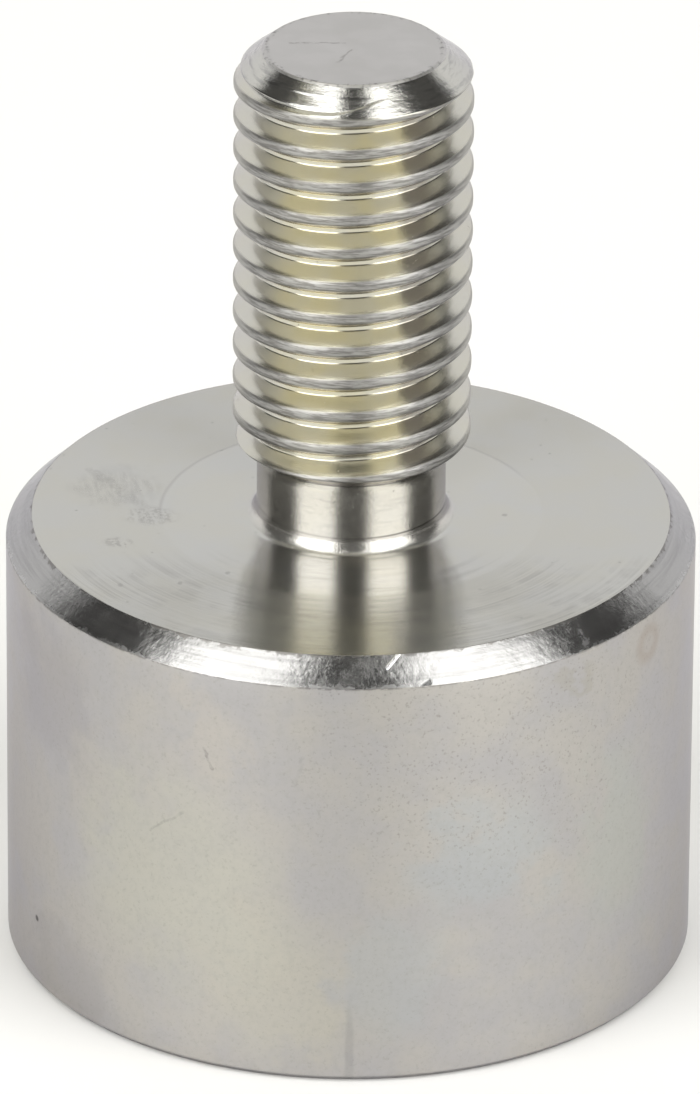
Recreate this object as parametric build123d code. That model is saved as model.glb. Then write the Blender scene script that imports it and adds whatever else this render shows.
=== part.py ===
from build123d import *
from build123d.topology import SkipClean
import math
import os

# Deep pot magnet with a threaded stud, in millimetres.
# The rim and the magnet's face lie on Z = 0, and the stud points up along +Z.

# pot, turned in one piece with its stud
pot_diameter = 34.0
pot_height = 22.7
pot_wall = 3.0              # round the bore underneath
pot_floor = 6.2             # between the bore and the top face
shoulder_width = 1.27       # chamfer round the top edge, measured across
shoulder_drop = 1.19        # the same chamfer, measured down
rim_break = 0.3             # chamfer on both edges of the rim

# stud, a right-hand M12 thread with a relief groove at its foot
thread_diameter = 11.7      # over the crests
thread_pitch = 1.75
thread_depth = 0.9          # from the crests in to the roots
flank_angle = 30.0          # of each flank, from square to the axis
crest_width = 0.45
crest_faces = 12            # patches of cylinder that make one turn of the crest
crest_seam = 2.0            # degrees from +X to the edge of the first patch
groove_start = 2.25         # above the top face, where the groove begins in the relief
stud_length = 25.0          # above the pot's top face
end_chamfer_width = 1.5
end_chamfer_rise = 1.16
relief_depth = 1.2          # from the crests in to the neck
relief_length = 3.6         # plain neck, from the top face
relief_slope_rise = 0.85    # from the neck out to the crests
foot_flare_width = 0.7      # quarter ellipse where the neck meets the top face, across
foot_flare_height = 0.75    # the same, upward

# magnet, and the ring that keeps it clear of the wall
pole_gap = 4.0              # between the wall and the magnet
magnet_edge_break = 0.4
ring_recess = 0.4           # from the rim in to the ring's face
bond_gap = 0.05             # glue film on each side of the ring

pot_radius = pot_diameter / 2
bore_radius = pot_radius - pot_wall
bore_depth = pot_height - pot_floor
thread_radius = thread_diameter / 2
neck_radius = thread_radius - relief_depth
magnet_radius = bore_radius - pole_gap
stud_top = pot_height + stud_length
thread_foot = pot_height + relief_length + relief_slope_rise
thread_head = stud_top - end_chamfer_rise


def turned_outline():
    """Half section of pot and stud, with the stud still plain."""
    flare_centre = (neck_radius + foot_flare_width, pot_height + foot_flare_height)
    with BuildSketch(Plane.XZ) as outline:
        with BuildLine():
            Polyline(
                (0, bore_depth),
                (bore_radius, bore_depth),
                (bore_radius, rim_break),
                (bore_radius + rim_break, 0),
                (pot_radius - rim_break, 0),
                (pot_radius, rim_break),
                (pot_radius, pot_height - shoulder_drop),
                (pot_radius - shoulder_width, pot_height),
                (flare_centre[0], pot_height),
            )
            EllipticalCenterArc(flare_centre, foot_flare_width, foot_flare_height, 180, arc_size=90)
            Polyline(
                (neck_radius, flare_centre[1]),
                (neck_radius, pot_height + relief_length),
                (thread_radius, thread_foot),
                (thread_radius, thread_head),
                (thread_radius - end_chamfer_width, stud_top),
                (0, stud_top),
                (0, bore_depth),
            )
        make_face()
    return outline.sketch


def groove_section():
    """Section of the thread's groove on the +X side, carried a little past the crests."""
    slope = math.tan(math.radians(flank_angle))
    past = thread_pitch / 15
    root_half = (thread_pitch - crest_width) / 2 - thread_depth * slope
    mouth_half = root_half + (thread_depth + past) * slope
    root = thread_radius - thread_depth
    mouth = thread_radius + past
    with BuildSketch(Plane.XZ) as section:
        with Locations((0, pot_height + groove_start)):
            Polygon(
                (root, -root_half),
                (mouth, -mouth_half),
                (mouth, mouth_half),
                (root, root_half),
                align=None,
            )
    return section.sketch


def groove_half_turns():
    """The thread's groove in half turns, from the relief to past the stud's end."""
    rise = thread_pitch / 2
    helix = Helix(thread_pitch, rise, thread_radius, center=(0, 0, pot_height + groove_start))
    half_turn = sweep(groove_section(), path=helix, is_frenet=True)
    count = math.ceil((stud_length - groove_start) / rise) + 2
    return [Pos(0, 0, rise * step) * Rot(0, 0, 180 * step) * half_turn for step in range(count)]


def crest_sectors():
    """The shank between relief and end chamfer, in sectors that divide the crest into patches."""
    with BuildSketch(Plane.XZ) as half:
        with Locations((0, thread_foot)):
            Rectangle(thread_radius, thread_head - thread_foot, align=Align.MIN)
    arc = 360 / crest_faces
    sector = revolve(half.sketch, Axis.Z, revolution_arc=arc)
    return [Rot(0, 0, crest_seam + arc * count) * sector for count in range(crest_faces)]


def pot_body():
    """Pot and stud from one bar: the half section turned about Z, with the thread cut in."""
    blank = revolve(turned_outline(), Axis.Z)
    sectors = crest_sectors()
    with SkipClean():
        shank_out = blank.cut(*sectors)
        return shank_out.fuse(*sectors).cut(*groove_half_turns())


def magnet_core():
    """Magnet rod from the bore's floor to the rim's plane."""
    with BuildPart() as core:
        Cylinder(magnet_radius, bore_depth, align=(Align.CENTER, Align.CENTER, Align.MIN))
        chamfer(core.edges(), magnet_edge_break)
    return core.part


def spacer_ring():
    """Ring that fills the bore round the magnet, a glue film clear of both."""
    outer = bore_radius - bond_gap
    inner = magnet_radius + bond_gap
    with BuildPart() as ring:
        with Locations((0, 0, ring_recess)):
            height = bore_depth - ring_recess
            align = (Align.CENTER, Align.CENTER, Align.MIN)
            Cylinder(outer, height, align=align)
            Cylinder(inner, height, align=align, mode=Mode.SUBTRACT)
    return ring.part


os.makedirs("parts", exist_ok=True)
export_step(pot_body(), "parts/pot_body.step")
export_step(magnet_core(), "parts/magnet_core.step")
export_step(spacer_ring(), "parts/spacer_ring.step")
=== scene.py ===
import bpy
import math
from mathutils import Matrix, Vector


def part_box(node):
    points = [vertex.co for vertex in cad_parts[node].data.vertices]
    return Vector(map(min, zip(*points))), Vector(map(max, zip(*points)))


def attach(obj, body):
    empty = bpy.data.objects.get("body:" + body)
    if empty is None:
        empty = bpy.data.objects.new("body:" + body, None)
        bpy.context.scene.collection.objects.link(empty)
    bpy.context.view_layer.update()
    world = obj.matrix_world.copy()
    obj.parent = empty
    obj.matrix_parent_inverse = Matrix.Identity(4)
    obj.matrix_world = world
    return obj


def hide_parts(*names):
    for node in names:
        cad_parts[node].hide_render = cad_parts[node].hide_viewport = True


# Deep pot magnet with a threaded stud. Lengths below are in millimetres and become metres in the meshes.
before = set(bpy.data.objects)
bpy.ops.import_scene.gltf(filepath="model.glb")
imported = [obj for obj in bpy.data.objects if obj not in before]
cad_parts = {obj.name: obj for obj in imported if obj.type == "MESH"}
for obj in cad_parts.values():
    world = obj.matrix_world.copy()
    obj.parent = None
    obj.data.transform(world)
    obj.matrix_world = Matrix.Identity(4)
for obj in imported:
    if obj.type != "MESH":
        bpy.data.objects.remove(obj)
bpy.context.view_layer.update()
mm = 0.001
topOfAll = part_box("pot_body")[1]
potRadius = topOfAll.x / mm
studTop = topOfAll.z / mm
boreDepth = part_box("magnet_core")[1].z / mm
print("frame loaded: pot radius", round(potRadius, 3), "stud top", round(studTop, 3))


class Signal:
    # one socket of a material, used like a number
    def __init__(self, board, socket):
        self.board = board
        self.socket = socket

    def __add__(self, other):
        return self.board.maths("ADD", self, other)

    def __radd__(self, other):
        return self.board.maths("ADD", other, self)

    def __sub__(self, other):
        return self.board.maths("SUBTRACT", self, other)

    def __rsub__(self, other):
        return self.board.maths("SUBTRACT", other, self)

    def __mul__(self, other):
        return self.board.maths("MULTIPLY", self, other)

    def __rmul__(self, other):
        return self.board.maths("MULTIPLY", other, self)

    def __truediv__(self, other):
        return self.board.maths("DIVIDE", self, other)

    def __rtruediv__(self, other):
        return self.board.maths("DIVIDE", other, self)

    def __pow__(self, other):
        return self.board.maths("POWER", self, other)

    def __neg__(self):
        return self.board.maths("MULTIPLY", self, -1.0)

    def __gt__(self, other):
        return self.board.maths("GREATER_THAN", self, other)


class Board:
    # the node tree of one material
    def __init__(self, name):
        self.material = bpy.data.materials.new(name)
        self.material.use_nodes = True
        self.tree = self.material.node_tree
        self.tree.nodes.clear()

    def place(self, kind, settings=None, sockets=None, out=0):
        node = self.tree.nodes.new("ShaderNode" + kind)
        for key, value in (settings or {}).items():
            setattr(node, key, value)
        for key, value in (sockets or {}).items():
            if isinstance(value, Signal):
                self.tree.links.new(value.socket, node.inputs[key])
            else:
                node.inputs[key].default_value = value
        return Signal(self, node.outputs[out]) if node.outputs else None

    def maths(self, operation, *values):
        return self.place("Math", {"operation": operation}, dict(enumerate(values)))

    def scaled(self, vector, factor):
        return self.place("VectorMath", {"operation": "SCALE"}, {0: vector, "Scale": factor})

    def blend(self, factor, first, second):
        settings = {"data_type": "RGBA", "blend_type": "MIX"}
        return self.place("Mix", settings, {0: factor, 6: first, 7: second}, out=2)

    def joined(self, x, y, z):
        return self.place("CombineXYZ", None, {0: x, 1: y, 2: z})

    def noise(self, where, scale, detail=2.0, roughness=0.5):
        sockets = {"Vector": where, "Scale": scale, "Detail": detail, "Roughness": roughness}
        return self.place("TexNoise", None, sockets)

    def cells(self, where, scale, out="Distance"):
        sockets = {"Vector": where, "Scale": scale, "Randomness": 1.0}
        return self.place("TexVoronoi", None, sockets, out)

    def ease(self, value, low, high):
        # 0 below low, 1 above high, smooth between
        settings = {"interpolation_type": "SMOOTHSTEP", "clamp": True}
        return self.place("MapRange", settings, {"Value": value, "From Min": low, "From Max": high})

    def larger(self, a, b):
        return self.maths("MAXIMUM", a, b)

    def smaller(self, a, b):
        return self.maths("MINIMUM", a, b)

    def scratch(self, u, v, start, end, width):
        # 1 on a straight scratch from start to end, 0 away from it
        du, dv = end[0] - start[0], end[1] - start[1]
        length = du * du + dv * dv
        along = ((u - start[0]) * du + (v - start[1]) * dv) / length
        along = self.smaller(self.larger(along, 0.0), 1.0)
        offU = u - start[0] - along * du
        offV = v - start[1] - along * dv
        away = (offU * offU + offV * offV) ** 0.5
        return 1.0 - self.ease(away, width * 0.4, width)

    def spot(self, u, v, centre, sizes):
        # 1 inside a soft ellipse, 0 outside
        offU = (u - centre[0]) / sizes[0]
        offV = (v - centre[1]) / sizes[1]
        return 1.0 - self.ease((offU * offU + offV * offV) ** 0.5, 0.4, 1.0)

    def finish(self, surface):
        self.place("OutputMaterial", None, {"Surface": surface})
        return self.material


def surfacePlaces(board):
    # object coordinates in mm, the distance from the axis and the unit direction round it
    point = board.scaled(board.place("TexCoord", out="Object"), 1.0 / mm)
    axes = board.place("SeparateXYZ", None, {0: point})
    x = Signal(board, axes.socket.node.outputs[0])
    y = Signal(board, axes.socket.node.outputs[1])
    z = Signal(board, axes.socket.node.outputs[2])
    radius = (x * x + y * y + 1e-6) ** 0.5
    return {"point": point, "x": x, "y": y, "z": z, "radius": radius, "cos": x / radius, "sin": y / radius}


def turningLines(board, places, across, scale, around=0.6):
    # noise drawn out round the axis, as a lathe tool leaves it
    where = board.joined(places["cos"] * around, places["sin"] * around, across * scale)
    return board.noise(where, 1.0, detail=3.0, roughness=0.65)


def turnPoints(corners):
    # corners are (r, z, rounding): each rounded corner becomes a short arc of points
    points = []
    for index, (r, z, rounding) in enumerate(corners):
        if rounding <= 0 or index in (0, len(corners) - 1):
            points.append((r, z))
            continue
        here = Vector((r, z))
        back = (Vector(corners[index - 1][:2]) - here).normalized()
        ahead = (Vector(corners[index + 1][:2]) - here).normalized()
        half = back.angle(ahead) / 2
        reach = rounding / math.tan(half)
        centre = here + (back + ahead).normalized() * rounding / math.sin(half)
        first, last = here + back * reach - centre, here + ahead * reach - centre
        turn = math.atan2(first.x * last.y - first.y * last.x, first.dot(last))
        steps = max(3, math.ceil(abs(turn) / math.radians(15.5)))
        for step in range(steps + 1):
            spin = turn * step / steps
            c, s = math.cos(spin), math.sin(spin)
            points.append((centre.x + first.x * c - first.y * s, centre.y + first.x * s + first.y * c))
    return points


def divided(points, longest):
    # the same outline with no step longer than this
    out = [points[0]]
    for (r0, z0), (r1, z1) in zip(points, points[1:]):
        count = max(1, math.ceil(math.hypot(r1 - r0, z1 - z0) / longest))
        for step in range(1, count + 1):
            out.append((r0 + (r1 - r0) * step / count, z0 + (z1 - z0) * step / count))
    return out


class Turned:
    # a mesh made of rings of vertices round the axis
    def __init__(self, columns):
        self.columns = columns
        self.verts = []
        self.faces = []
        self.skins = []

    def point(self, r, turn, z):
        self.verts.append((r * math.cos(turn) * mm, r * math.sin(turn) * mm, z * mm))
        return len(self.verts) - 1

    def ring(self, r, z):
        if r == 0:
            return [self.point(0, 0, z)] * self.columns
        if not callable(r):
            return [self.point(r, math.tau * k / self.columns, z) for k in range(self.columns)]
        return [self.point(r(math.tau * k / self.columns, z), math.tau * k / self.columns, z)
                for k in range(self.columns)]

    def face(self, corners, skin):
        kept = [c for k, c in enumerate(corners) if c != corners[k - 1]]
        if len(kept) > 2:
            self.faces.append(kept)
            self.skins.append(skin)

    def band(self, lower, upper, skin):
        for k in range(self.columns):
            n = (k + 1) % self.columns
            self.face((lower[k], lower[n], upper[n], upper[k]), skin)

    def build(self, name, materials):
        mesh = bpy.data.meshes.new(name)
        mesh.from_pydata(self.verts, [], self.faces)
        for material in materials:
            mesh.materials.append(material)
        mesh.polygons.foreach_set("material_index", self.skins)
        mesh.polygons.foreach_set("use_smooth", [True] * len(self.faces))
        mesh.update()
        thing = bpy.data.objects.new(name, mesh)
        bpy.context.scene.collection.objects.link(thing)
        return thing


# zinc plating on turned steel; places on the side are (mm round from the front, mm up), on top (x, y)
zinc = {
    "edgeTint": (0.80, 0.79, 0.84, 1),     # of the reflection near grazing
    "acrossLines": 0.25,                   # turns the anisotropy so that reflections spread across the lines
}
side = {
    "cool": (0.438, 0.427, 0.430, 1),
    "warm": (0.466, 0.447, 0.422, 1),
    "mottleShade": (0.34, 0.33, 0.315, 1),
    "fleckShade": (0.20, 0.19, 0.18, 1),
    "grainShade": (0.26, 0.24, 0.215, 1),
    "scratchShade": (0.17, 0.16, 0.155, 1),
    "streakShade": (0.20, 0.20, 0.205, 1),
    "stainShade": (0.33, 0.255, 0.20, 1),
    "dotShade": (0.04, 0.035, 0.03, 1),
    "footShade": (0.20, 0.195, 0.19, 1),
    "burrShade": (0.15, 0.145, 0.14, 1),
    "roughness": 0.32,
    "clouds": [
        ((-9.0, 9.5), (7.5, 7.0), (0.490, 0.480, 0.425, 1), 0.75),
        ((-3.5, 5.0), (4.5, 5.5), (0.500, 0.480, 0.420, 1), 0.70),
        ((6.5, 12.0), (5.0, 4.5), (0.430, 0.445, 0.455, 1), 0.75),
        ((2.5, 5.5), (4.0, 4.5), (0.435, 0.445, 0.450, 1), 0.60),
        ((15.0, 10.5), (3.5, 6.5), (0.440, 0.455, 0.425, 1), 0.60),
        ((-7.0, 18.0), (2.2, 3.0), (0.510, 0.475, 0.425, 1), 0.42),
        ((-17.5, 17.0), (5.0, 5.0), (0.370, 0.355, 0.370, 1), 0.55),
        ((-16.5, 2.0), (5.0, 3.0), (0.385, 0.365, 0.355, 1), 0.50),
        ((11.8, 20.4), (1.8, 0.8), (0.385, 0.360, 0.305, 1), 0.40),
    ],
    "speckled": ((8.0, 18.5), (13.0, 11.0)),
    "scratches": [
        ((-7.30, 17.50), (-6.82, 16.46), 0.11, 0.42),
        ((-10.29, 12.23), (-8.33, 13.76), 0.10, 0.24),
        ((-2.24, 17.71), (-2.62, 16.16), 0.13, 0.14),
    ],
    "dot": ((-19.20, 3.78), (0.24, 0.22)),
    "stain": (17.45, 20.0),
    "streak": ((0.10, 1.2), (0.30, 4.2)),
}
shoulder = {
    "bright": (0.385, 0.383, 0.38, 1),
    "darker": (0.28, 0.278, 0.278, 1),
    "upperEdge": (0.15, 0.14, 0.13, 1),
    "lowerEdge": (0.60, 0.60, 0.60, 1),
    "nickShine": (0.85, 0.85, 0.85, 1),
    "nickShadow": (0.06, 0.06, 0.06, 1),
    "paleShade": (0.62, 0.62, 0.63, 1),
    "roughness": 0.21,
    "brightNick": ((1.95, 22.30), (2.65, 22.80), 0.11),
    "darkNick": ((3.52, 21.45), (3.90, 21.62), 0.16),
    "paleSpot": ((12.75, 21.95), (0.30, 0.50)),
}
top = {
    "cool": (0.506, 0.508, 0.488, 1),
    "warm": (0.515, 0.511, 0.472, 1),
    "outerTint": (0.490, 0.482, 0.430, 1),
    "stepShade": (0.30, 0.29, 0.28, 1),
    "smudgeShade": (0.31, 0.31, 0.30, 1),
    "wornShade": (0.16, 0.155, 0.145, 1),
    "lineShade": (0.33, 0.325, 0.31, 1),
    "fineLineShade": (0.30, 0.295, 0.275, 1),
    "roughness": 0.17,
    "stepRadius": 9.4,
    "smudge": ((-11.6, 2.5), (2.7, 2.9)),
    "scratches": [
        ((-12.95, 4.47), (-9.90, 0.02), 0.40, 0.16),
    ],
    "bruises": [((-11.40, -3.60), (0.90, 0.70)), ((-9.90, -0.60), (1.75, 1.25))],
    "specks": [(-11.22, -8.28), (-8.30, -8.02), (-5.98, -6.89), (7.58, -0.26)],
}
studTints = {
    "plain": (0.53, 0.525, 0.495, 1),
    "neck": (0.595, 0.578, 0.540, 1),
    "dark": (0.275, 0.258, 0.240, 1),
    "flankCool": (0.625, 0.605, 0.520, 1),
    "flankWarm": (0.645, 0.612, 0.475, 1),
    "crest": (0.36, 0.357, 0.352, 1),
    "crestDull": (0.17, 0.166, 0.165, 1),
    "end": (0.520, 0.512, 0.500, 1),
    "chamferLines": (0.28, 0.28, 0.28, 1),
    "flecks": (0.20, 0.18, 0.165, 1),
    "neckLines": (0.34, 0.32, 0.31, 1),
    "footDarkLine": (0.10, 0.09, 0.085, 1),
    "endWarm": (0.47, 0.465, 0.45, 1),
    "endScratch": (0.22, 0.21, 0.20, 1),
    "endEdge": (0.16, 0.155, 0.15, 1),
    "roughness": 0.12,
    "crestRoughness": 0.36,
    "endRoughness": 0.36,
}


def bumpFrom(board, height):
    # height is in mm
    return board.place("Bump", None, {"Strength": 1.0, "Distance": mm, "Height": height})


def zincFinish(board, tint, roughness, height, anisotropy=0.0, metallic=1.0):
    # a Principled metal with its constants on its own sockets
    sockets = {"Base Color": tint, "Metallic": metallic, "Roughness": roughness,
               "Normal": bumpFrom(board, height), "Anisotropic": anisotropy,
               "Anisotropic Rotation": zinc["acrossLines"], "Specular Tint": zinc["edgeTint"]}
    return board.finish(board.place("BsdfPrincipled", None, sockets))


def arcPlaces(board, p):
    # mm round the side from the front, and mm up
    return board.maths("ARCTAN2", p["x"], -p["y"]) * potRadius, p["z"]


def sideMaterial():
    board = Board("zincSide")
    p = surfacePlaces(board)
    arc, z = arcPlaces(board, p)
    drift = board.noise(p["point"], 0.35, detail=4.0, roughness=0.6) - 0.5
    softArc, softZ = arc + drift * 9.0, z - drift * 8.0
    hue = board.noise(p["point"], 0.28, detail=3.0, roughness=0.55)
    shade = board.blend(board.ease(hue, 0.35, 0.65), side["cool"], side["warm"])
    for centre, sizes, tint, strength in side["clouds"]:
        shade = board.blend(board.spot(softArc, softZ, centre, sizes) * strength, shade, tint)
    mottle = board.noise(p["point"], 2.6, detail=4.0, roughness=0.7)
    shade = board.blend(board.ease(mottle, 0.42, 0.72) * 0.22, shade, side["mottleShade"])
    grain = board.cells(p["point"], 2.5)
    pick = board.cells(p["point"], 2.5, out="Color")
    crowd = 0.16 + board.spot(softArc, softZ, *side["speckled"]) * 0.55
    dots = (1.0 - board.ease(grain, 0.07, 0.20)) * (pick > 0.45) * crowd * 0.55
    shade = board.blend(dots, shade, side["fleckShade"])
    specks = board.ease(board.noise(p["point"], 6.0, detail=2.0, roughness=0.6), 0.585, 0.68)
    shade = board.blend(specks * (0.13 + crowd * 0.40), shade, side["grainShade"])
    wobble = (board.noise(p["point"], 1.4, detail=3.0) - 0.5) * 0.7
    worn = 0.0
    for start, end, width, strength in side["scratches"]:
        worn = board.larger(worn, board.scratch(arc + wobble, z, start, end, width) * strength)
    worn = worn * (0.35 + board.ease(mottle, 0.38, 0.56) * 0.65)
    shade = board.blend(worn, shade, side["scratchShade"])
    streak = board.spot(arc + wobble * 0.1, z, *side["streak"]) * 0.22
    shade = board.blend(streak, shade, side["streakShade"])
    offArc, offZ = arc + wobble * 0.5 - side["stain"][0], z + wobble * 0.5 - side["stain"][1]
    ringAway = (offArc * offArc + offZ * offZ) ** 0.5
    stain = (0.35 + board.ease(ringAway, 0.30, 0.70)) * (1.0 - board.ease(ringAway, 0.75, 1.30))
    shade = board.blend(stain * 0.24, shade, side["stainShade"])
    shade = board.blend(board.spot(arc, z, *side["dot"]) * 0.85, shade, side["dotShade"])
    shade = board.blend((1.0 - board.ease(z + wobble * 0.2, 0.10, 0.45)) * 0.30, shade, side["footShade"])
    edgeHeight = pot["height"] - pot["shoulderDrop"]
    burr = board.ease(z + wobble * 0.10, edgeHeight - 0.12, edgeHeight - 0.02)
    shade = board.blend(burr * board.ease(mottle, 0.40, 0.55) * 0.55, shade, side["burrShade"])
    lines = turningLines(board, p, z, 5.0)
    height = lines * 0.003 + mottle * 0.003
    rough = side["roughness"] + board.ease(hue, 0.3, 0.7) * 0.05 + worn * 0.1
    return zincFinish(board, shade, rough, height, 0.3)


def shoulderMaterial():
    board = Board("zincShoulder")
    p = surfacePlaces(board)
    arc, z = arcPlaces(board, p)
    streaks = turningLines(board, p, z, 5.5, 2.2)
    grit = board.noise(p["point"], 3.2, detail=5.0, roughness=0.75)
    patch = board.noise(p["point"], 0.8, detail=3.0)
    shade = board.blend(board.ease(streaks, 0.42, 0.70) * 0.6, shoulder["bright"], shoulder["darker"])
    footHeight, topHeight = pot["height"] - pot["shoulderDrop"], pot["height"]
    chips = board.noise(p["point"], 1.7, detail=4.0, roughness=0.65)
    ragged = (chips - 0.5) * 0.75
    upper = board.ease(z + ragged, topHeight - 0.10, topHeight + 0.02)
    lower = 1.0 - board.ease(z + ragged, footHeight + 0.02, footHeight + 0.10)
    shade = board.blend(upper * 0.65, shade, shoulder["upperEdge"])
    shade = board.blend(lower * 0.35, shade, shoulder["lowerEdge"])
    bright = board.scratch(arc + ragged * 0.5, z + ragged * 0.3, *shoulder["brightNick"])
    dark = board.scratch(arc + ragged * 0.4, z, *shoulder["darkNick"])
    pale = board.spot(arc + ragged, z, *shoulder["paleSpot"]) * board.ease(grit, 0.35, 0.60)
    shade = board.blend(bright * 0.9, shade, shoulder["nickShine"])
    shade = board.blend(dark * 0.85, shade, shoulder["nickShadow"])
    shade = board.blend(pale * 0.6, shade, shoulder["paleShade"])
    height = (streaks * 0.007 + grit * 0.008 * board.ease(patch, 0.35, 0.65) + grit * 0.007
              + bright * 0.03 - dark * 0.05)
    rough = shoulder["roughness"] + board.ease(patch, 0.4, 0.75) * 0.06 + (upper + lower + pale) * 0.12
    return zincFinish(board, shade, rough, height, 0.7)


def faceMaterial():
    board = Board("zincFace")
    p = surfacePlaces(board)
    x, y, radius = p["x"], p["y"], p["radius"]
    lines = turningLines(board, p, radius, 3.2, 0.9)
    fine = turningLines(board, p, radius, 9.0, 1.4)
    hue = board.noise(p["point"], 0.3, detail=3.0)
    shade = board.blend(board.ease(hue, 0.35, 0.65), top["cool"], top["warm"])
    outer = board.ease(radius, top["stepRadius"] - 0.05, top["stepRadius"] + 0.10)
    shade = board.blend(outer * 0.15, shade, top["outerTint"])
    wobble = (board.noise(p["point"], 1.1, detail=3.0) - 0.5) * 0.9
    grain = board.noise(p["point"], 4.5, detail=4.0, roughness=0.75)
    ring = board.ease(radius + wobble * 0.10, top["stepRadius"] - 0.16, top["stepRadius"])
    ring = ring * (1.0 - board.ease(radius + wobble * 0.10, top["stepRadius"], top["stepRadius"] + 0.16))
    shade = board.blend(ring * board.ease(y - x * 0.3, 0.5, 3.5) * 0.30, shade, top["stepShade"])
    strokes = board.noise(board.joined(x * 3.2 + y * 0.6, y * 0.7, 0.0), 1.0, detail=3.0, roughness=0.6)
    smudge = board.spot(x + wobble * 2.0, y + wobble * 2.0, *top["smudge"]) * board.ease(strokes, 0.30, 0.66)
    shade = board.blend(smudge * 0.26, shade, top["smudgeShade"])
    worn = 0.0
    for centre, sizes in top["bruises"]:
        bruise = board.spot(x + wobble * 1.4, y - wobble * 1.2, centre, sizes)
        bruise = bruise * board.ease(strokes + grain, 0.85, 1.15)
        worn = board.larger(worn, bruise * 0.34)
    for start, end, width, strength in top["scratches"]:
        mark = board.scratch(x + wobble * 0.6, y + wobble * 0.6, start, end, width)
        worn = board.larger(worn, mark * board.ease(grain, 0.36, 0.58) * strength)
    for centre in top["specks"]:
        worn = board.larger(worn, board.spot(x + wobble * 0.4, y - wobble * 0.3, centre, (0.17, 0.24)) * 0.30)
    pick = board.cells(p["point"], 1.3, out="Color")
    dots = (1.0 - board.ease(board.cells(p["point"], 1.3), 0.05, 0.12)) * (pick > 0.66)
    worn = board.larger(worn, dots * 0.30)
    shade = board.blend(worn, shade, top["wornShade"])
    broken = board.ease(board.noise(p["point"], 0.55, detail=2.0), 0.38, 0.62)
    # the turning lines are painted darker in front of the stud: partly real turning lines, partly painted
    # streaks in the stud's reflection there
    linesAndReflectionStreaks = board.ease(lines, 0.46, 0.66) * (0.01 + broken * board.ease(-y, 4.0, 7.0) * 0.34)
    shade = board.blend(linesAndReflectionStreaks, shade, top["lineShade"])
    linesAndReflectionStreaks = board.ease(fine, 0.46, 0.64) * board.ease(-y, 4.5, 8.0) * (0.10 + broken * 0.22)
    shade = board.blend(linesAndReflectionStreaks, shade, top["fineLineShade"])
    height = lines * 0.003 + fine * 0.0025 + grain * 0.0012
    rough = top["roughness"] + outer * 0.04 + board.ease(hue, 0.4, 0.7) * 0.02 + smudge * 0.08
    return zincFinish(board, shade, rough, height, 1.0)


def studMaterial():
    board = Board("zincStud")
    p = surfacePlaces(board)
    radius, z = p["radius"], p["z"]
    headHeight = studTop - stud["endRise"]
    neckHeight = pot["height"] + stud["neckLength"]
    hue = board.noise(p["point"], 0.5, detail=3.0)
    grit = board.noise(p["point"], 4.0, detail=5.0, roughness=0.75)
    flank = board.blend(board.ease(hue, 0.35, 0.65), studTints["flankCool"], studTints["flankWarm"])
    threaded = board.ease(z, neckHeight, neckHeight + 0.4)
    threaded = threaded * (1.0 - board.ease(z, headHeight - 0.1, headHeight + 0.1))
    # the yellow film tint is painted stronger towards the front as a painted reflection, and a painted dark
    # reflection runs in a strip up to the right of it
    front = board.ease(-p["sin"], 0.55, 0.80)
    neck = 1.0 - board.ease(z, neckHeight - 0.2, neckHeight + 0.2)
    flared = neck * board.ease(radius, stud["neckRadius"] + 0.05, stud["neckRadius"] + 0.40)
    shade = board.blend(neck - flared, studTints["plain"], studTints["neck"])
    shade = board.blend(threaded * (0.3 + front * 0.7), shade, flank)
    # painted dark reflection: a darker strip up the thread, only on the side towards the front
    across = p["cos"] + (grit - 0.5) * 0.16
    darker = board.ease(across, 0.42, 0.52) * (1.0 - board.ease(across, 0.66, 0.86))
    darker = darker * board.ease(-p["sin"], 0.2, 0.5)
    shade = board.blend(darker * threaded * 0.75, shade, studTints["dark"])
    streaks = turningLines(board, p, z, 5.0, 3.0)
    scored = turningLines(board, p, z, 9.0, 5.0)
    # the crest is darker partly as scored, rougher zinc and partly as painted shade, which is made strongest
    # towards the front
    crest = board.ease(radius, stud["crestRadius"] - 0.13, stud["crestRadius"] - 0.03) * threaded
    crestShade = board.blend(board.ease(scored, 0.40, 0.62), studTints["crest"], studTints["crestDull"])
    shade = board.blend(crest * (0.35 + board.ease(-p["sin"], 0.15, 0.65) * 0.55), shade, crestShade)
    chamfer = board.ease(z, headHeight - 0.05, headHeight + 0.15)
    shade = board.blend(chamfer * board.ease(streaks, 0.45, 0.7) * 0.6, shade, studTints["chamferLines"])
    flecks = board.ease(grit, 0.60, 0.72)
    shade = board.blend(flecks * 0.45, shade, studTints["flecks"])
    shade = board.blend(neck * board.ease(streaks, 0.48, 0.7) * 0.20, shade, studTints["neckLines"])
    # a thin dark line where the fillet meets the neck, stronger towards the right
    footHeight = pot["height"] + stud["flareHeight"]
    footDarkLine = board.ease(z, footHeight - 0.03, footHeight + 0.03)
    footDarkLine = footDarkLine * (1.0 - board.ease(z, footHeight + 0.05, footHeight + 0.13))
    footDarkLine = footDarkLine * (0.25 + board.ease(p["cos"], -0.1, 0.5) * 0.45)
    shade = board.blend(footDarkLine, shade, studTints["footDarkLine"])
    # a thin film on the neck scatters a little light
    film = (neck - flared) * (0.010 + board.ease(grit, 0.40, 0.62) * 0.050)
    height = (streaks * (0.0015 + chamfer * 0.008 + neck * 0.0025)
              + grit * (0.0025 + neck * 0.0080 + crest * 0.006 + chamfer * 0.006)
              + scored * crest * 0.010)
    rough = studTints["roughness"] + crest * (studTints["crestRoughness"] - studTints["roughness"])
    rough = rough + flecks * 0.10 + neck * 0.07 + threaded * 0.09 + flared * 0.06
    return zincFinish(board, shade, rough, height, 0.3, 1.0 - film)


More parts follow.
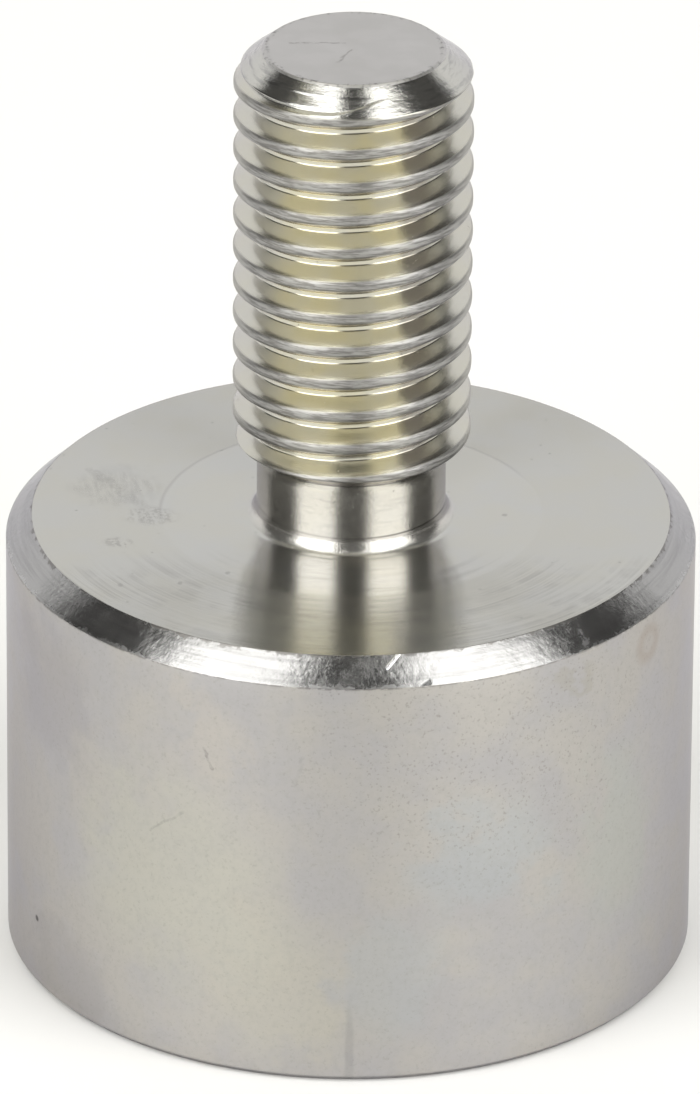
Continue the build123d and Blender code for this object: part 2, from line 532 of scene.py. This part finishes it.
def endMaterial():
    board = Board("zincStudEnd")
    p = surfacePlaces(board)
    x, y = p["x"], p["y"]
    hue = board.noise(p["point"], 0.7, detail=3.0)
    grit = board.noise(p["point"], 3.0, detail=4.0, roughness=0.7)
    shade = board.blend(board.ease(hue, 0.35, 0.65) * 0.5, studTints["end"], studTints["endWarm"])
    wobble = (board.noise(p["point"], 1.6, detail=3.0) - 0.5) * 0.6
    marks = board.larger(board.scratch(x, y + wobble * 0.5, (-3.11, 0.55), (-0.45, 0.60), 0.09),
                         board.scratch(x + wobble, y, (-0.11, -0.22), (-0.78, -1.65), 0.09))
    marks = marks * board.ease(grit, 0.35, 0.6)
    edge = board.ease(p["radius"] + (grit - 0.5) * 0.5, 4.12, 4.34)
    height = turningLines(board, p, p["radius"], 5.0, 0.8) * 0.002 + grit * (0.002 + edge * 0.02) - marks * 0.01
    shade = board.blend(marks * 0.45, shade, studTints["endScratch"])
    shade = board.blend(edge * board.ease(grit, 0.5, 0.65) * 0.7, shade, studTints["endEdge"])
    return zincFinish(board, shade, studTints["endRoughness"], height, 0.3)


def rimMaterial():
    # the rim's ring underneath, ground flat in one direction
    board = Board("groundRim")
    p = surfacePlaces(board)
    strokes = board.noise(board.joined(p["x"] * 0.25, p["y"] * 9.0, p["z"]), 1.0, detail=4.0, roughness=0.7)
    shade = board.blend(board.ease(strokes, 0.3, 0.7), (0.50, 0.50, 0.50, 1), (0.60, 0.60, 0.60, 1))
    return zincFinish(board, shade, 0.3, strokes * 0.006)


pot = {
    "columns": 224,
    "height": 22.7,
    "shoulderWidth": 1.27,
    "shoulderDrop": 1.19,
    "boreRadius": 14.0,
    "rimBreak": 0.3,
    "edgeSoftness": 0.07,
}
stud = {
    "crestRadius": 5.85,
    "rootRadius": 4.95,
    "pitch": 1.75,
    "flankAngle": 30.0,
    "crestWidth": 0.45,
    "crestRounding": 0.24,
    "grooveStart": 2.25,       # height of the groove's middle over the pot's top, on the +X side
    "neckRadius": 4.65,
    "neckLength": 3.6,
    "neckSlope": 0.85,
    "flareWidth": 0.7,
    "flareHeight": 0.75,
    "endWidth": 1.5,
    "endRise": 1.16,
    "endRows": 30,
}


def threadSection():
    # (height over the groove's middle, radius) from one groove's middle to the next, rounded at the crest
    slope = math.tan(math.radians(stud["flankAngle"]))
    depth = stud["crestRadius"] - stud["rootRadius"]
    rootHalf = (stud["pitch"] - stud["crestWidth"]) / 2 - depth * slope
    crestHalf = stud["crestWidth"] / 2
    middle = stud["pitch"] / 2
    rise = stud["crestRounding"]
    lower = turnPoints([
        (0.0, stud["rootRadius"], 0),
        (rootHalf, stud["rootRadius"], 0.10),
        (middle - crestHalf, stud["crestRadius"], rise),
        (middle, stud["crestRadius"], 0),
    ])
    lower = divided(lower, 0.31)
    upper = [(stud["pitch"] - height, radius) for height, radius in reversed(lower)]
    return lower + upper[1:-1]


section = threadSection()


def shallowest(z):
    # the groove fades out where it runs through the end chamfer
    start, length, left = studTop - stud["endRise"] - 0.25, 0.55, 0.025
    way = min(max((z - start) / length, 0.0), 1.0)
    way = way * way * (3 - 2 * way)
    cone = stud["crestRadius"] - stud["endWidth"] * max(0.0, z - studTop + stud["endRise"]) / stud["endRise"]
    return stud["rootRadius"] + (cone - left - stud["rootRadius"]) * way


def threadRadius(turn, z):
    # radius of the thread's surface at an angle round the axis and a height
    middle = pot["height"] + stud["grooveStart"] + stud["pitch"] * turn / math.tau
    place = (z - middle) % stud["pitch"]
    for (h0, r0), (h1, r1) in zip(section, section[1:] + [(stud["pitch"], stud["rootRadius"])]):
        if h0 <= place <= h1:
            return max(r0 + (r1 - r0) * (place - h0) / (h1 - h0), shallowest(z))
    return max(stud["rootRadius"], shallowest(z))


def onCone(r0, z0, r1, z1):
    # the lower of a cone's surface and the thread's
    def radius(turn, z):
        cone = r0 + (r1 - r0) * (z - z0) / (z1 - z0)
        return min(cone, threadRadius(turn, z))
    return radius


def makePotBody():
    shape = Turned(pot["columns"])
    soft = pot["edgeSoftness"]
    sideSkin, shoulderSkin, faceSkin, threadSkin, endSkin, rimSkin = range(6)
    wall = potRadius
    topFace = pot["height"]
    shoulderFoot = topFace - pot["shoulderDrop"]
    bore, rimBreak = pot["boreRadius"], pot["rimBreak"]
    neck, flareWidth, flareHeight = stud["neckRadius"], stud["flareWidth"], stud["flareHeight"]
    neckTop = topFace + stud["neckLength"]
    foot = neckTop + stud["neckSlope"]
    head = studTop - stud["endRise"]
    crest = stud["crestRadius"]
    endRadius = crest - stud["endWidth"]
    flare = [(neck + flareWidth * (1 - math.sin(a)), topFace + flareHeight * (1 - math.cos(a)))
             for a in [math.pi / 2 * k / 8 for k in range(9)]]
    outline = [
        (rimSkin, [(0, boreDepth), (bore, boreDepth)], 4.0),
        (rimSkin, [(bore, boreDepth), (bore, rimBreak), (bore + rimBreak, 0)], 4.0),
        (rimSkin, [(bore + rimBreak, 0), (wall - rimBreak - 0.5, 0)], 1.0),
    ]
    path = []
    for skin, points, longest in outline:
        path += [(skin, q) for q in divided(points, longest)[1 if path else 0:]]
    outside = turnPoints([(wall - rimBreak - 0.5, 0, 0), (wall - rimBreak, 0, soft), (wall, rimBreak, soft),
                          (wall, shoulderFoot, soft), (wall - pot["shoulderWidth"], topFace, soft),
                          (wall - pot["shoulderWidth"] - 0.5, topFace, 0)])
    for r, z in divided(outside, 1.2):
        if z <= 0.0001:
            skin = rimSkin
        elif z < shoulderFoot + 0.02:
            skin = sideSkin
        elif z < topFace - 0.001:
            skin = shoulderSkin
        else:
            skin = faceSkin
        if r > bore + rimBreak + 0.5 or skin == faceSkin:
            path.append((skin, (r, z)))
    path = [q for k, q in enumerate(path) if k == 0 or q[1] != path[k - 1][1]]
    path += [(faceSkin, q) for q in divided([path[-1][1], flare[0]], 0.8)[1:]]
    path += [(faceSkin if q[1] < topFace + 0.08 else threadSkin, q) for q in flare[1:]]
    path += [(threadSkin, q) for q in divided([flare[-1], (neck, neckTop)], 0.5)[1:]]
    previous = None
    for skin, (r, z) in path:
        current = shape.ring(r, z)
        if previous:
            shape.band(previous, current, skin)
        previous = current
    # run-out of the groove over the neck's cone
    cone = onCone(neck, neckTop, crest, foot)
    for row in range(1, stud["endRows"] + 1):
        z = neckTop + (foot - neckTop) * row / stud["endRows"]
        current = shape.ring(cone, z)
        shape.band(previous, current, threadSkin)
        previous = current
    # thread, with rows of vertices that climb with the groove and stop at two circles
    footRing = previous
    endCone = onCone(crest, head, endRadius, studTop)
    headRing = shape.ring(endCone, head)
    startMiddle = topFace + stud["grooveStart"]
    perTurn = len(section)
    firstTurn = math.floor((foot - startMiddle) / stud["pitch"]) - 2
    lastTurn = math.ceil((head - startMiddle) / stud["pitch"]) + 1
    known = {}

    def vertexAt(row, column):
        if column == shape.columns:
            return vertexAt(row + perTurn, 0)
        height, radius = section[row % perTurn]
        turn = math.tau * column / shape.columns
        z = startMiddle + (row // perTurn) * stud["pitch"] + height + stud["pitch"] * turn / math.tau
        if z <= foot + 0.002:
            return footRing[column]
        if z >= head - 0.002:
            return headRing[column]
        if (row, column) not in known:
            known[row, column] = shape.point(max(radius, shallowest(z)), turn, z)
        return known[row, column]

    for row in range(firstTurn * perTurn, lastTurn * perTurn):
        for column in range(shape.columns):
            shape.face((vertexAt(row, column), vertexAt(row, column + 1),
                        vertexAt(row + 1, column + 1), vertexAt(row + 1, column)), threadSkin)
    # end chamfer, with the groove's last turn running out through it
    previous = headRing
    softened = 0.10
    for row in range(1, stud["endRows"] + 1):
        z = head + (studTop - softened - head) * row / stud["endRows"]
        current = shape.ring(endCone, z)
        shape.band(previous, current, threadSkin)
        previous = current
    lastR = endCone(0, studTop - softened)
    edge = turnPoints([(lastR, studTop - softened, 0), (endRadius, studTop, softened),
                       (endRadius - 0.4, studTop, 0)])
    for r, z in divided(edge[1:] + [(0, studTop)], 0.8):
        current = shape.ring(r if r > 1e-9 else 0, z)
        shape.band(previous, current, endSkin)
        previous = current
    return shape.build("potBody", [sideMaterial(), shoulderMaterial(), faceMaterial(), studMaterial(),
                                   endMaterial(), rimMaterial()])


potBody = makePotBody()
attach(potBody, "root")
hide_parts("pot_body")
print("pot and stud:", sum(len(q.vertices) - 2 for q in potBody.data.polygons), "triangles")


def magnetMaterial():
    board = Board("magnetAlloy")
    p = surfacePlaces(board)
    strokes = board.noise(board.joined(p["x"] * 0.3, p["y"] * 8.0, p["z"]), 1.0, detail=4.0, roughness=0.7)
    grain = board.noise(p["point"], 2.2, detail=5.0, roughness=0.65)
    shade = board.blend(board.ease(grain, 0.35, 0.65), (0.10, 0.098, 0.10, 1), (0.17, 0.165, 0.165, 1))
    shade = board.blend(board.ease(strokes, 0.45, 0.75) * 0.4, shade, (0.28, 0.275, 0.27, 1))
    height = strokes * 0.006 + grain * 0.006
    bump = bumpFrom(board, height)
    rough = 0.42 + board.ease(grain, 0.3, 0.7) * 0.15
    sockets = {"Base Color": shade, "Metallic": 0.85, "Roughness": rough, "Normal": bump}
    return board.finish(board.place("BsdfPrincipled", None, sockets))


def ringMaterial():
    board = Board("spacerBrass")
    p = surfacePlaces(board)
    lines = turningLines(board, p, p["radius"], 10.0, 0.8)
    tarnish = board.noise(p["point"], 0.8, detail=4.0)
    shade = board.blend(board.ease(tarnish, 0.4, 0.7), (0.66, 0.48, 0.20, 1), (0.48, 0.34, 0.16, 1))
    bump = bumpFrom(board, lines * 0.006)
    rough = 0.30 + board.ease(tarnish, 0.4, 0.7) * 0.18
    sockets = {"Base Color": shade, "Metallic": 1.0, "Roughness": rough, "Normal": bump}
    return board.finish(board.place("BsdfPrincipled", None, sockets))


def dress(node, material):
    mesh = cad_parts[node].data
    mesh.materials.clear()
    mesh.materials.append(material)


dress("magnet_core", magnetMaterial())
dress("spacer_ring", ringMaterial())
print("magnet and ring dressed")


floorSettings = {"size": 6.0, "shade": (0.86, 0.86, 0.855), "below": 0.00002}


def makeFloor():
    board = Board("paleFloor")
    half = floorSettings["size"] / 2
    sockets = {"Base Color": (*floorSettings["shade"], 1), "Roughness": 0.9}
    material = board.finish(board.place("BsdfPrincipled", None, sockets))
    mesh = bpy.data.meshes.new("paleFloor")
    z = -floorSettings["below"]
    corners = [(-half, -half, z), (half, -half, z), (half, half, z), (-half, half, z)]
    mesh.from_pydata(corners, [], [(0, 1, 2, 3)])
    mesh.materials.append(material)
    thing = bpy.data.objects.new("paleFloor", mesh)
    bpy.context.scene.collection.objects.link(thing)


makeFloor()


# each panel stands on its low edge and leans back by its tilt; places in metres, tilts in degrees
panels = {
    "frontLeft": {"left": -0.63, "right": -0.105, "y": -0.35, "low": 0.0, "height": 1.0, "tilt": 16.7,
                  "glow": 3.2, "shade": (1.0, 0.995, 0.97)},
    "frontRight": {"left": 0.12, "right": 0.74, "y": -0.35, "low": 0.0, "height": 1.0, "tilt": 16.7,
                   "glow": 3.2, "shade": (1.0, 0.995, 0.97)},
    "backdrop": {"left": -1.03, "right": 1.03, "y": 0.55, "low": 0.0, "height": 0.70, "tilt": 0.0,
                 "glow": 0.95, "shade": (1.0, 0.995, 0.98)},
}
overhead = {"left": -0.55, "right": 0.38, "front": 0.0, "back": 0.44, "height": 1.0, "glow": 0.85,
            "shade": (1.0, 0.97, 0.80)}
surround = (0.10, 0.098, 0.094)


def areaLight(name, place, facing, across, width, height, glow, shade):
    # facing is the way it shines and across the direction of its width
    lamp = bpy.data.lights.new(name, "AREA")
    lamp.shape = "RECTANGLE"
    lamp.size = width
    lamp.size_y = height
    lamp.color = shade
    lamp.energy = glow * math.pi * width * height     # radiance of a flat panel times pi times its area
    thing = bpy.data.objects.new(name, lamp)
    back = -facing.normalized()
    turned = Matrix((across, back.cross(across), back)).transposed()
    thing.matrix_world = Matrix.Translation(place) @ turned.to_4x4()
    thing.visible_camera = False
    bpy.context.scene.collection.objects.link(thing)


def makeLights():
    across = Vector((1, 0, 0))
    for name, panel in panels.items():
        inward = 1 if panel["y"] < 0 else -1
        lean = math.radians(panel["tilt"])
        rise = Vector((0, inward * math.sin(lean), math.cos(lean)))
        width = panel["right"] - panel["left"]
        foot = Vector(((panel["left"] + panel["right"]) / 2, panel["y"], panel["low"]))
        areaLight(name, foot + rise * panel["height"] / 2, rise.cross(across) * inward, across, width,
                  panel["height"], panel["glow"], panel["shade"])
    middle = Vector(((overhead["left"] + overhead["right"]) / 2, (overhead["front"] + overhead["back"]) / 2,
                     overhead["height"]))
    areaLight("overhead", middle, Vector((0, 0, -1)), across, overhead["right"] - overhead["left"],
              overhead["back"] - overhead["front"], overhead["glow"], overhead["shade"])
    world = bpy.data.worlds.new("studio")
    bpy.context.scene.world = world
    world.use_nodes = True
    world.node_tree.nodes["Background"].inputs["Color"].default_value = (*surround, 1)
    world.node_tree.nodes["Background"].inputs["Strength"].default_value = 1.0


makeLights()
print("floor and lights ready")


view = {
    "elevation": 26.25,
    "roll": 0.401,
    "distance": 38.0,          # in pot radii
    "pixelsPerRadius": 344.84,
    "imageSize": (700, 1094),
    "aimHeight": 21.51,        # the shoulder's lower edge, on the axis
    "aimPixel": (350.83, 533.29),
}


def makeCamera():
    radius = potRadius * mm
    lift = math.radians(view["elevation"])
    towards = Vector((0, -math.cos(lift), math.sin(lift)))
    right = Vector((1, 0, 0))
    up = right.cross(-towards)
    aim = Vector((0, 0, view["aimHeight"] * mm))
    place = aim + towards * view["distance"] * radius
    offX = (view["imageSize"][0] / 2 - view["aimPixel"][0]) / view["pixelsPerRadius"] * radius
    offY = (view["aimPixel"][1] - view["imageSize"][1] / 2) / view["pixelsPerRadius"] * radius
    tilt = math.radians(view["roll"])
    across = right * math.cos(tilt) + up * math.sin(tilt)
    above = up * math.cos(tilt) - right * math.sin(tilt)
    look = aim + across * offX + above * offY - place
    camera = bpy.data.cameras.new("camera")
    camera.sensor_width = 36.0
    camera.lens = view["pixelsPerRadius"] * view["distance"] * camera.sensor_width / view["imageSize"][1]
    camera.clip_start = 0.05
    camera.clip_end = 20.0
    thing = bpy.data.objects.new("camera", camera)
    back = -look.normalized()
    sideways = above.cross(back).normalized()
    upright = back.cross(sideways)
    turned = Matrix((sideways, upright, back)).transposed()
    thing.matrix_world = Matrix.Translation(place) @ turned.to_4x4()
    bpy.context.scene.collection.objects.link(thing)
    bpy.context.scene.camera = thing


makeCamera()
bpy.context.scene.view_settings.view_transform = "Standard"
bpy.context.scene.view_settings.look = "None"
print("camera ready")
